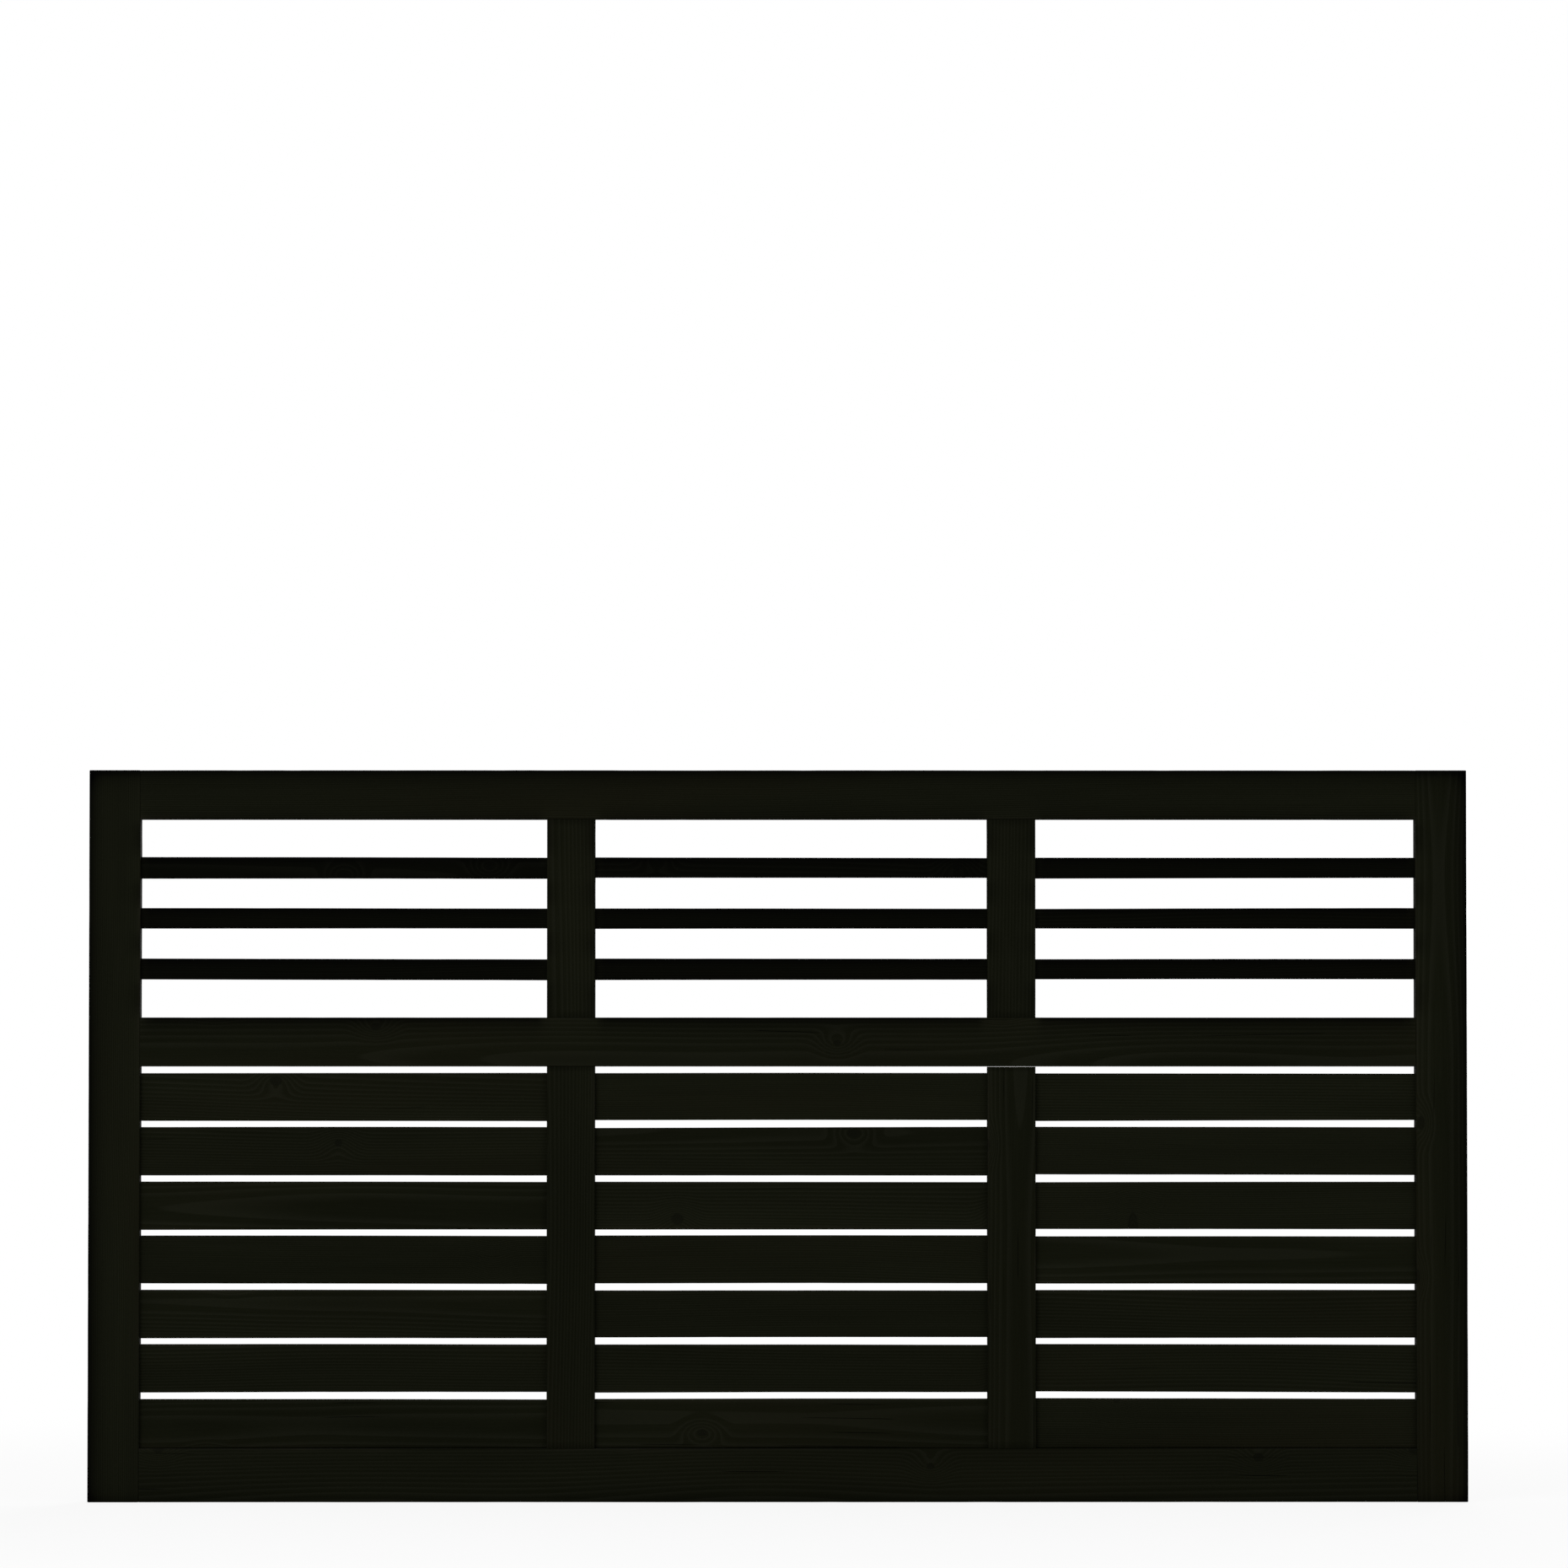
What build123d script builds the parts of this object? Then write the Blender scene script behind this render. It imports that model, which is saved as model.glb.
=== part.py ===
from build123d import *
import os

# Wooden fence panel in three bays, with spaced slats above a mid rail and close boards below it.
# The frame is two full-height stiles, three rails tenoned into them, and four mullions between the rails.
# Slats and boards are let into housings in the uprights, midway through the frame's thickness,
# so the front and the back of the panel are alike.
#
# The origin is at the foot of the left stile, in the middle of the edge that bears on a post.
# X runs along the panel, Y from its front face to its back face, and Z upwards.

# Driving dimensions in millimetres

# Frame members, measured across their faces
LEFT_BAY = 540.0
MIDDLE_BAY = 521.0
RIGHT_BAY = 505.0
STILE_WIDTH = 68.0
MULLION_WIDTH = 64.0
TOP_RAIL_WIDTH = 65.0
MID_RAIL_WIDTH = 65.0
BOTTOM_RAIL_WIDTH = 71.0
FRAME_THICKNESS = 38.0
FRAME_EASE = 1.5  # radius of the frame's rounded long edges
OPEN_JOINT = 0.4  # gap that has opened over the lower right mullion

# Slats of the upper opening
SLAT_COUNT = 3
SLAT_WIDTH = 27.5
SLAT_THICKNESS = 19.0
SLAT_GAP = 40.0
SLAT_END_GAP = 50.5  # above the first slat and below the last one
SLAT_EASE = 2.0

# Boards of the lower opening, the last one resting on the bottom rail
BOARD_COUNT = 7
BOARD_WIDTH = 63.0
BOTTOM_BOARD_WIDTH = 65.0  # the last board, ripped to fill the space that is left
BOARD_THICKNESS = 19.0
BOARD_GAP = 9.0
BOARD_EASE = 2.0

# Housings for the ends of slats and boards
HOUSING_DEPTH = 10.0
HOUSING_END_PLAY = 0.5
HOUSING_FIT = 0.25  # clearance on each face and over the top edge

# Stub tenons of the rails
TENON_LENGTH = 35.0
TENON_THICKNESS = 12.0
TENON_SHOULDER = 14.0  # left at the rail's upper and lower edges
TENON_FIT = 0.2  # clearance on each face and edge
MORTISE_GLUE_ROOM = 1.0  # beyond the tenon's end

# Places worked out from the driving dimensions

# Bays from left to right, as the lower and upper ends of their X range
left_bay = (STILE_WIDTH, STILE_WIDTH + LEFT_BAY)
middle_bay_start = left_bay[1] + MULLION_WIDTH
middle_bay = (middle_bay_start, middle_bay_start + MIDDLE_BAY)
right_bay_start = middle_bay[1] + MULLION_WIDTH
right_bay = (right_bay_start, right_bay_start + RIGHT_BAY)
panel_length = right_bay[1] + STILE_WIDTH
bays = {"left_bay": left_bay, "middle_bay": middle_bay, "right_bay": right_bay}

# Openings and rails from the ground up, as the lower and upper ends of their Z range
slat_widths = [SLAT_WIDTH] * SLAT_COUNT
board_widths = [BOARD_WIDTH] * (BOARD_COUNT - 1) + [BOTTOM_BOARD_WIDTH]
lower_opening_height = sum(board_widths) + BOARD_COUNT * BOARD_GAP
upper_opening_height = 2 * SLAT_END_GAP + sum(slat_widths) + (SLAT_COUNT - 1) * SLAT_GAP
bottom_rail_span = (0.0, BOTTOM_RAIL_WIDTH)
lower_opening = (bottom_rail_span[1], bottom_rail_span[1] + lower_opening_height)
mid_rail_span = (lower_opening[1], lower_opening[1] + MID_RAIL_WIDTH)
upper_opening = (mid_rail_span[1], mid_rail_span[1] + upper_opening_height)
top_rail_span = (upper_opening[1], upper_opening[1] + TOP_RAIL_WIDTH)
panel_height = top_rail_span[1]
rail_spans = {"top_rail": top_rail_span, "mid_rail": mid_rail_span, "bottom_rail": bottom_rail_span}


def spaced_down(opening, widths, first_gap, gap):
    """Z ranges of pieces with even gaps between them, counted down from the top of an opening."""
    spans = []
    top = opening[1] - first_gap
    for width in widths:
        spans.append((top - width, top))
        top -= width + gap
    return spans


slat_spans = spaced_down(upper_opening, slat_widths, SLAT_END_GAP, SLAT_GAP)
board_spans = spaced_down(lower_opening, board_widths, BOARD_GAP, BOARD_GAP)


# Shapes

def block(x_range, z_range, thickness):
    """A square-edged bar that lies midway through the panel."""
    length = x_range[1] - x_range[0]
    height = z_range[1] - z_range[0]
    centre = Pos(sum(x_range) / 2, 0, sum(z_range) / 2)
    return centre * Box(length, thickness, height)


def eased_bar(x_range, z_range, thickness, along, ease):
    """A bar with the four edges along its length rounded over."""
    bar = block(x_range, z_range, thickness)
    return fillet(bar.edges().filter_by(along), ease)


def tenon_span(rail_span):
    """Z range of a rail's tenons, inside the shoulders at its edges."""
    return (rail_span[0] + TENON_SHOULDER, rail_span[1] - TENON_SHOULDER)


def rail(rail_span):
    """A rail that fits between the stiles, with a stub tenon at each end."""
    between_stiles = (STILE_WIDTH, panel_length - STILE_WIDTH)
    over_tenons = (between_stiles[0] - TENON_LENGTH, between_stiles[1] + TENON_LENGTH)
    body = eased_bar(between_stiles, rail_span, FRAME_THICKNESS, Axis.X, FRAME_EASE)
    return body + block(over_tenons, tenon_span(rail_span), TENON_THICKNESS)


def mortise(inner_edge, outwards, rail_span):
    """The pocket for a rail's tenon, sunk into a stile from its inner edge."""
    low, high = tenon_span(rail_span)
    bottom_of_pocket = inner_edge + outwards * (TENON_LENGTH + MORTISE_GLUE_ROOM)
    x_range = (min(inner_edge, bottom_of_pocket), max(inner_edge, bottom_of_pocket))
    return block(x_range, (low - TENON_FIT, high + TENON_FIT), TENON_THICKNESS + 2 * TENON_FIT)


def housings(edge, inwards, slats, boards):
    """Pockets for the ends of slats and boards in one edge of an upright, each seated on its floor."""
    bottom_of_pocket = edge + inwards * HOUSING_DEPTH
    x_range = (min(edge, bottom_of_pocket), max(edge, bottom_of_pocket))
    seats = [(span, SLAT_THICKNESS) for span in slats] + [(span, BOARD_THICKNESS) for span in boards]
    return [
        block(x_range, (span[0], span[1] + HOUSING_FIT), thickness + 2 * HOUSING_FIT)
        for span, thickness in seats
    ]


def stile(x_range, inner_edge, outwards):
    """An outer upright with housings and mortises in its inner edge."""
    bar = eased_bar(x_range, (0.0, panel_height), FRAME_THICKNESS, Axis.Z, FRAME_EASE)
    pockets = housings(inner_edge, outwards, slat_spans, board_spans)
    pockets += [mortise(inner_edge, outwards, span) for span in rail_spans.values()]
    return bar - pockets


def mullion(start, z_range, slats, boards):
    """An inner upright that stands between two rails, with housings in both edges."""
    x_range = (start, start + MULLION_WIDTH)
    bar = eased_bar(x_range, z_range, FRAME_THICKNESS, Axis.Z, FRAME_EASE)
    pockets = housings(x_range[0], 1, slats, boards) + housings(x_range[1], -1, slats, boards)
    return bar - pockets


def infill(bay, span, thickness, ease):
    """A slat or board whose ends reach into the housings on both sides of its bay."""
    reach = HOUSING_DEPTH - HOUSING_END_PLAY
    return eased_bar((bay[0] - reach, bay[1] + reach), span, thickness, Axis.X, ease)


# Pieces by name

pieces = {}

pieces["left_stile"] = stile((0.0, STILE_WIDTH), left_bay[0], -1)
pieces["right_stile"] = stile((right_bay[1], panel_length), right_bay[1], 1)

for name, span in rail_spans.items():
    pieces[name] = rail(span)

lower_right_span = (lower_opening[0], lower_opening[1] - OPEN_JOINT)
pieces["upper_left_mullion"] = mullion(left_bay[1], upper_opening, slat_spans, [])
pieces["upper_right_mullion"] = mullion(middle_bay[1], upper_opening, slat_spans, [])
pieces["lower_left_mullion"] = mullion(left_bay[1], lower_opening, [], board_spans)
pieces["lower_right_mullion"] = mullion(middle_bay[1], lower_right_span, [], board_spans)

for bay_name, bay in bays.items():
    for number, span in enumerate(slat_spans, start=1):
        pieces[f"{bay_name}_slat_{number}"] = infill(bay, span, SLAT_THICKNESS, SLAT_EASE)
    for number, span in enumerate(board_spans, start=1):
        pieces[f"{bay_name}_board_{number}"] = infill(bay, span, BOARD_THICKNESS, BOARD_EASE)

# One STEP file for each piece

os.makedirs("parts", exist_ok=True)
for name, shape in pieces.items():
    export_step(shape, f"parts/{name}.step")

print(f"{len(pieces)} pieces, panel {panel_length:.1f} x {FRAME_THICKNESS:.1f} x {panel_height:.1f} mm")
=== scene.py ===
# %% [markdown]
# # A fence panel in near-black timber
#
# The real object is a fence panel: a frame of two stiles, three rails and four short mullions, with spaced
# slats in its upper part and close boards in its lower part, all finished in one near-black wood stain.
# The packed model already holds every piece at its true size and place. It could simply be given a colour,
# but timber shows its growth rings, its rubbed edges and its saw cuts, so this lesson makes each piece
# again as a finer surface and gives it a finish that knows how the piece was cut from its log.

# %% Load the packed model and keep its box
import math
from collections import namedtuple

import bmesh
import bpy
import numpy as np
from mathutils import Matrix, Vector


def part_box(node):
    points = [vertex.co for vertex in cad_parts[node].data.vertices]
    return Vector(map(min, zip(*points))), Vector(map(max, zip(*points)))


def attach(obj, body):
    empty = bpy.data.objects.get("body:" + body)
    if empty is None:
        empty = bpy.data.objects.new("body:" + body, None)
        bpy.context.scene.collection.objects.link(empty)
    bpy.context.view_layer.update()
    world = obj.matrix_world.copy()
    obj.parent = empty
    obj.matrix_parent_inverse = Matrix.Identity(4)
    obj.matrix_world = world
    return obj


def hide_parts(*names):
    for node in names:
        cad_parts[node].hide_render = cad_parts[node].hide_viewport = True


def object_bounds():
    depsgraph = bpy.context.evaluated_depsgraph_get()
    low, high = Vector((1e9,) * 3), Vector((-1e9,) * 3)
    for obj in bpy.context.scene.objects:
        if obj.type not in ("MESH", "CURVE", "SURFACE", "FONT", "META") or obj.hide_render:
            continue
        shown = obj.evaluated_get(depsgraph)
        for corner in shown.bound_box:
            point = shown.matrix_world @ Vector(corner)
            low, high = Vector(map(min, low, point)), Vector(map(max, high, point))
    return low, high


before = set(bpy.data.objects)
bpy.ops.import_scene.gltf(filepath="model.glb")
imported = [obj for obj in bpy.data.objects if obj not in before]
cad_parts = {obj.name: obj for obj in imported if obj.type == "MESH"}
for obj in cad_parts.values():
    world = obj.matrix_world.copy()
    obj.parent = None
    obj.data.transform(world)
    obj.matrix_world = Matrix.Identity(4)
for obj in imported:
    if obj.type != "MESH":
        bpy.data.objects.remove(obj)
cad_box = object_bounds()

MM = 0.001
scene = bpy.context.scene
boxes = {node: np.array(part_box(node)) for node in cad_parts}
panel_low, panel_high = np.array(cad_box)
panel_centre = (panel_low + panel_high) / 2
print(len(boxes), "pieces, panel size", np.round(panel_high - panel_low, 4))

# %% [markdown]
# ## The camera
#
# The photograph looks at the panel almost square on and from far away: its far edges are only a few
# thousandths shorter than its near ones. A wide lens close by would bend those edges, and a flat
# orthographic view would lose the last of the perspective, so the camera stands eleven metres off with a
# long lens. It stands a little left of the middle and almost level with the open joint over one mullion, so
# that a thin line of light shows there, and it is tilted up, which leaves the empty space above the panel.

# %% Camera
CAMERA_PLACE = (0.875, -11.0, 0.539)
CAMERA_TURN = math.radians(0.25)  # to the right of straight ahead
CAMERA_TILT = math.radians(2.155)  # above level
CAMERA_LENS = 189.82  # millimetres, on a sensor of the width below
CAMERA_SENSOR = 36.0

camera = bpy.data.objects.new("camera", bpy.data.cameras.new("camera"))
camera.data.lens = CAMERA_LENS
camera.data.sensor_width = CAMERA_SENSOR
camera.location = CAMERA_PLACE
camera.rotation_euler = (math.pi / 2 + CAMERA_TILT, 0.0, -CAMERA_TURN)
scene.collection.objects.link(camera)
scene.camera = camera
scene.view_settings.view_transform = "Standard"
print("field of view", round(math.degrees(camera.data.angle), 2), "degrees")

# %% [markdown]
# ## Shader arithmetic
#
# A finish is mostly arithmetic on numbers that change over the surface. Laying that out by hand as Math
# nodes is slow to write and hard to read. This small class wraps a socket, so that a sum written in Python
# becomes the Math nodes for it, and its one method for other nodes takes their type, settings and inputs.

# %% Sockets that take part in sums
class Shade:
    """An output socket of a node tree. Sums with it add Math nodes."""

    def __init__(self, tree, socket=None):
        self.tree = tree
        self.socket = socket

    def node(self, kind, settings=None, inputs=None, output=0):
        """Adds a node of any type: first its settings, then the values or links of its sockets."""
        made = self.tree.nodes.new(kind)
        for name, value in (settings or {}).items():
            setattr(made, name, value)
        for name, value in (inputs or {}).items():
            if isinstance(value, Shade):
                self.tree.links.new(value.socket, made.inputs[name])
            else:
                made.inputs[name].default_value = value
        return Shade(self.tree, made.outputs[output]) if len(made.outputs) else None

    def also(self, output):
        """Another output of the same node."""
        return Shade(self.tree, self.socket.node.outputs[output])

    def math(self, operation, first, second=0.0):
        """One Math node on two sockets or numbers."""
        return self.node("ShaderNodeMath", {"operation": operation}, {0: first, 1: second})

    def __add__(self, other):
        return self.math("ADD", self, other)

    def __radd__(self, other):
        return self.math("ADD", other, self)

    def __sub__(self, other):
        return self.math("SUBTRACT", self, other)

    def __rsub__(self, other):
        return self.math("SUBTRACT", other, self)

    def __mul__(self, other):
        return self.math("MULTIPLY", self, other)

    def __rmul__(self, other):
        return self.math("MULTIPLY", other, self)

    def __truediv__(self, other):
        return self.math("DIVIDE", self, other)

    def __rtruediv__(self, other):
        return self.math("DIVIDE", other, self)


print("reflected sums:", [name for name in vars(Shade) if name.startswith("__r")])

# %% [markdown]
# ## The studio
#
# The panel stands in front of plain white. More light would make the background white and the black
# timber grey with it, so the white is given only to the rays that look at the background: camera rays,
# and glossy and transmitted ones, so that reflections agree with it. The floor mixes that white with a
# plain pale surface, which keeps the panel's shadow, and turns quite white further off.

# %% White surround
SURROUND_LIGHT = 0.42  # what the white surround adds to diffuse surfaces
WHITE = (1.0, 1.0, 1.0, 1.0)


def cleared(data):
    """A material or world with an empty node tree, as the start of its sums."""
    data.use_nodes = True
    data.node_tree.nodes.clear()
    return Shade(data.node_tree)


def looks_at_background(tools):
    """1 for rays that show the background: camera, glossy or transmitted ones."""
    camera_ray = tools.node("ShaderNodeLightPath", output="Is Camera Ray")
    seen = camera_ray.math("MAXIMUM", camera_ray, camera_ray.also("Is Glossy Ray"))
    return seen.math("MAXIMUM", seen, camera_ray.also("Is Transmission Ray"))


scene.world = bpy.data.worlds.new("white_surround")
air = cleared(scene.world)
strength = SURROUND_LIGHT + looks_at_background(air) * (1.0 - SURROUND_LIGHT)
glow = air.node("ShaderNodeBackground", inputs={"Color": WHITE, "Strength": strength})
air.node("ShaderNodeOutputWorld", inputs={"Surface": glow})
print("surround lights surfaces at", SURROUND_LIGHT)

# %% Floor plane
FLOOR_HALF = 40.0
FLOOR_CLEARANCE = 0.5 * MM
FLOOR_LEVEL = panel_low[2] - FLOOR_CLEARANCE

corners = [(x * FLOOR_HALF, y * FLOOR_HALF, FLOOR_LEVEL) for x, y in ((-1, -1), (1, -1), (1, 1), (-1, 1))]
floor_mesh = bpy.data.meshes.new("floor")
floor_mesh.from_pydata(corners, [], [(0, 1, 2, 3)])
floor = bpy.data.objects.new("floor", floor_mesh)
scene.collection.objects.link(floor)
print("floor at", round(FLOOR_LEVEL, 5))

# %% Pale floor that turns white further off
FLOOR_COLOUR = (0.93, 0.93, 0.93, 1.0)
FLOOR_WHITE = 0.88  # share of the floor's look that is plain white, close to the panel
FLOOR_FADE = (1.4, 3.4)  # distances from the panel between which that share grows to all of it


def ramp(value, low, high):
    """0 below low, 1 above high and a smooth step between."""
    span = {"Value": value, "From Min": low, "From Max": high}
    return value.node("ShaderNodeMapRange", {"interpolation_type": "SMOOTHSTEP"}, span)


floor_mesh.materials.append(bpy.data.materials.new("pale_floor"))
ground = cleared(floor_mesh.materials[0])
foot = (panel_centre[0], panel_centre[1], FLOOR_LEVEL)
spot = ground.node("ShaderNodeTexCoord", output="Object")
away = ground.node("ShaderNodeVectorMath", {"operation": "DISTANCE"}, {0: spot, 1: foot}, output="Value")
share = looks_at_background(ground) * (FLOOR_WHITE + ramp(away, *FLOOR_FADE) * (1.0 - FLOOR_WHITE))
matt = ground.node("ShaderNodeBsdfDiffuse", inputs={"Color": FLOOR_COLOUR})
white = ground.node("ShaderNodeEmission", inputs={"Color": WHITE, "Strength": 1.0})
mixed = ground.node("ShaderNodeMixShader", inputs={0: share, 1: matt, 2: white})
ground.node("ShaderNodeOutputMaterial", inputs={"Surface": mixed})
print("floor is white beyond", FLOOR_FADE[1], "m")

# %% [markdown]
# ## Lamps
#
# The faint dark lines at the left ends of the boards say that the light comes from the front and a little
# from the left. A sun lamp could come from there too, but it would draw hard shadows, and those lines are
# soft. One large soft lamp does that, a second fills in from the right, and a third keeps the back of the
# panel readable.

# %% Three soft lamps aimed at the panel
LAMP_SIDE = 3.0


def soft_lamp(name, place, power):
    """A square area lamp that looks at the middle of the panel, with its power in watts."""
    lamp = bpy.data.objects.new(name, bpy.data.lights.new(name, "AREA"))
    lamp.data.size = LAMP_SIDE
    lamp.data.energy = power
    lamp.location = place
    aim = panel_centre - np.array(place)
    rise = math.atan2(aim[2], math.hypot(aim[0], aim[1]))
    lamp.rotation_euler = (math.pi / 2 + rise, 0.0, -math.atan2(aim[0], aim[1]))
    lamp.visible_camera = False
    scene.collection.objects.link(lamp)
    return lamp


lamps = [
    soft_lamp("key_lamp", (-1.6, -6.0, 2.7), 208.0),
    soft_lamp("fill_lamp", (4.6, -5.2, 1.8), 64.0),
    soft_lamp("back_lamp", (2.6, 6.0, 3.6), 240.0),
]
print("lamps", [(lamp.name, lamp.data.energy) for lamp in lamps])

# %% [markdown]
# ## Where a piece lay in its log
#
# Growth rings are cylinders round a tree's pith. A board is a straight cut beside that pith, so its faces
# show long arches, its edges show lines and its ends show arcs, all of the same rings. Painting arches on
# each face would never agree at the corners. Here every point of a piece is given its place in the log
# instead: how far along it lies, how far from the pith, and how far round. Relief and colour both read it.

# %% Smooth random lines
def smooth_line(x, start, spacing, heights):
    """A curve through evenly spaced heights, eased in and out of each of them."""
    place = (x - start) / spacing
    post = np.clip(np.floor(place).astype(int), 0, len(heights) - 2)
    part = np.clip(place - post, 0.0, 1.0)
    part = part * part * (3.0 - 2.0 * part)
    return heights[post] * (1.0 - part) + heights[post + 1] * part


print("a smooth line:", np.round(smooth_line(np.linspace(0, 2, 9), 0.0, 1.0, np.array([0.0, 1.0, 0.5])), 2))

# %% A log and its pith
PITH_CLEARANCE = 0.8  # share of the section's half diagonal that lies between its middle and any pith
PITH_DISTANCE = (22 * MM, 75 * MM)  # beyond that
GROWTH = (0.75, 1.35)  # rings of a fast grown tree to those of a slow grown one
LEAN = 0.010  # slope of the pith against the piece
SWAY = 3.0 * MM
SWAY_LENGTH = 0.28
TREE_HEIGHT = 40.0


class Log:
    """The tree that one piece was cut from, with its pith beside the piece."""

    def __init__(self, half_diagonal, start, length, rng):
        self.bearing = rng.uniform(0.0, 2.0 * math.pi)
        self.distance = PITH_CLEARANCE * half_diagonal + rng.uniform(*PITH_DISTANCE)
        self.growth = rng.uniform(*GROWTH)
        self.lean = rng.uniform(-LEAN, LEAN, 2)
        self.sway = rng.uniform(-SWAY, SWAY, (2, int(length / SWAY_LENGTH) + 2))
        self.start = start
        self.height = rng.uniform(0.0, TREE_HEIGHT)

    def offset(self, s, a, b):
        """Offsets of points from the pith: a line at a bearing from the section, which leans and sways."""
        wander_a, wander_b = (
            lean * (s - self.start) + smooth_line(s, self.start, SWAY_LENGTH, sway)
            for lean, sway in zip(self.lean, self.sway)
        )
        pith_a = self.distance * math.cos(self.bearing)
        pith_b = self.distance * math.sin(self.bearing)
        return a + pith_a + wander_a, b + pith_b + wander_b

    def place(self, s, a, b):
        """Log coordinates: height up the tree, distance from the pith times growth, and arc round it."""
        out_a, out_b = self.offset(s, a, b)
        from_pith = np.hypot(out_a, out_b)
        forward = out_a * math.cos(self.bearing) + out_b * math.sin(self.bearing)
        sideways = out_b * math.cos(self.bearing) - out_a * math.sin(self.bearing)
        return self.height + s, from_pith * self.growth, from_pith * np.arctan2(sideways, forward)


sample = Log(33 * MM, 0.0, 1.0, np.random.default_rng(1))
print("pith of a sample log", round(sample.distance / MM), "mm beside its board")

# %% Stock for a piece
SEED = 500  # another whole number gives another panel of the same make
TONE = (0.95, 1.05)  # deepest to palest timber, once stained
seeds = {node: SEED + number for number, node in enumerate(sorted(boxes))}


class Stock:
    """The timber for one node before it is cut: its place, its half sizes and its log.

    s runs along the timber, a across its face and b through its thickness, both from its middle.
    along is the panel's axis that s follows, 0 for X or 2 for Z. sawn_ends says whether its ends show.
    """

    def __init__(self, node, along, sawn_ends=False):
        low, high = boxes[node]
        self.node = node
        self.along = along
        self.across = 2 - along
        self.sawn_ends = sawn_ends
        self.middle = (low + high) / 2
        self.start = low[along]
        self.end = high[along]
        self.half_a = (high[self.across] - low[self.across]) / 2
        self.half_b = (high[1] - low[1]) / 2
        self.rng = np.random.default_rng(seeds[node])
        self.tone = self.rng.uniform(*TONE)
        self.log = Log(math.hypot(self.half_a, self.half_b), self.start, self.end - self.start, self.rng)

    def random_line(self, s, spacing):
        """A smooth random line from 0 to 1 along the timber."""
        heights = self.rng.random(int((self.end - self.start) / spacing) + 2)
        return smooth_line(s, self.start, spacing, heights)

    def in_panel(self, s, a, b):
        """Points in the panel's own axes."""
        points = np.zeros(np.broadcast(s, a, b).shape + (3,))
        points[..., self.along] = s
        points[..., self.across] = a + self.middle[self.across]
        points[..., 1] = b + self.middle[1]
        return points

    def on_timber(self, points):
        """The three coordinates s, a and b of points in the panel's axes."""
        from_middle = points - self.middle
        return points[..., self.along], from_middle[..., self.across], from_middle[..., 1]


trial_board = Stock("left_bay_board_1", along=0)
trial_stile = Stock("left_stile", along=2)
trial_length = (trial_board.end - trial_board.start) / MM
print("trial board", round(trial_length), "mm long, tone", round(trial_board.tone, 3))

# %% [markdown]
# ## The section of a timber
#
# A planed timber is a rectangle with its four long edges, the arrises, rounded over. A cube with a Bevel
# modifier would give that outline, but not the points on its faces that the grain needs. The section is
# therefore a closed loop of points, close together across the grain, and each point keeps its outward
# direction. Where a pocket will be sunk into an edge, the loop has two lines almost at one place: one stays
# at the surface and the other goes down.

# %% Section loop
FACE_STEP = 1.7 * MM
EDGE_STEP = 2.2 * MM
ARC_STEPS = 4
SEAM = 0.001 * MM  # half the distance between two lines that stand for one
SAME_PLACE = 5 * SEAM  # what lies closer together than this counts as one
INFILL_EASE = 2.0 * MM  # radius of the rounded edges of slats and boards


def doubled(places):
    """Each place as two lines, a hair before it and a hair after it."""
    places = np.asarray(places, float)
    return np.concatenate([places - SEAM, places + SEAM])


def evenly(half, step):
    """Places from minus half to half, about a step apart."""
    return np.linspace(-half, half, max(2, round(2 * half / step)) + 1)


def section_loop(half_a, half_b, ease, pocket_halves):
    """Points (a, b) once round a rectangle with rounded corners, and their outward directions.

    Each side is a straight run of points followed by a quarter circle of the ease radius.
    """
    face = evenly(half_a - ease, FACE_STEP)
    edge = evenly(half_b - ease, EDGE_STEP)
    for half in pocket_halves:
        clear = np.abs(np.abs(edge) - half) > EDGE_STEP / 3
        edge = np.sort(np.concatenate([edge[clear], doubled([-half, half])]))
    arc = np.linspace(0.0, math.pi / 2, ARC_STEPS + 1)[1:-1]
    points, directions = [], []
    for quarter, (run, reach) in enumerate([(face, half_b), (edge, half_a)] * 2):
        heading = (quarter - 1) * math.pi / 2
        out = np.round([math.cos(heading), math.sin(heading)])
        onward = np.array([-out[1], out[0]])
        bend = np.stack([np.cos(heading + arc), np.sin(heading + arc)], axis=1)
        corner = out * (reach - ease) + onward * run[-1]
        points += [out * reach + run[:, None] * onward, corner + ease * bend]
        directions += [np.repeat(out[None, :], len(run), axis=0), bend]
    return np.concatenate(points), np.concatenate(directions)


trial_loop, _ = section_loop(trial_board.half_a, trial_board.half_b, INFILL_EASE, [])
print("points round a board's section:", len(trial_loop))

# %% Stations along a timber
ALONG_STEP = 11 * MM


def stations(start, end, cuts, fixed):
    """Places along a piece: about a step apart, doubled at every cut, and the fixed places as they are."""
    regular = np.linspace(start, end, round((end - start) / ALONG_STEP) + 1)
    cuts = np.unique(np.round(np.asarray(cuts, float), 8))
    cuts = cuts[(cuts > start + SAME_PLACE) & (cuts < end - SAME_PLACE)]
    fixed = np.concatenate([doubled(cuts), fixed])
    if len(fixed):
        clear = np.abs(regular[:, None] - fixed[None, :]).min(axis=1) > ALONG_STEP / 4
        clear[[0, -1]] = True
        regular = regular[clear]
    return np.sort(np.concatenate([regular, fixed]))


trial_stations = stations(trial_board.start, trial_board.end, [], [])
print("stations along a board:", len(trial_stations))

# %% [markdown]
# ## Relief
#
# Weather takes the soft wood between the rings first, so the faces carry long low ridges, and knocks leave
# shallow dents along the arrises. A Displace modifier could push the faces in by a noise texture, but that
# doesn't know the log, so the ridges are worked out from each point's distance to the pith. Ridges and dents
# only take wood away, so the surface moves inwards from the planed size and the panel never outgrows its
# packed model. The finest lines are left to bump in the finish.

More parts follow.
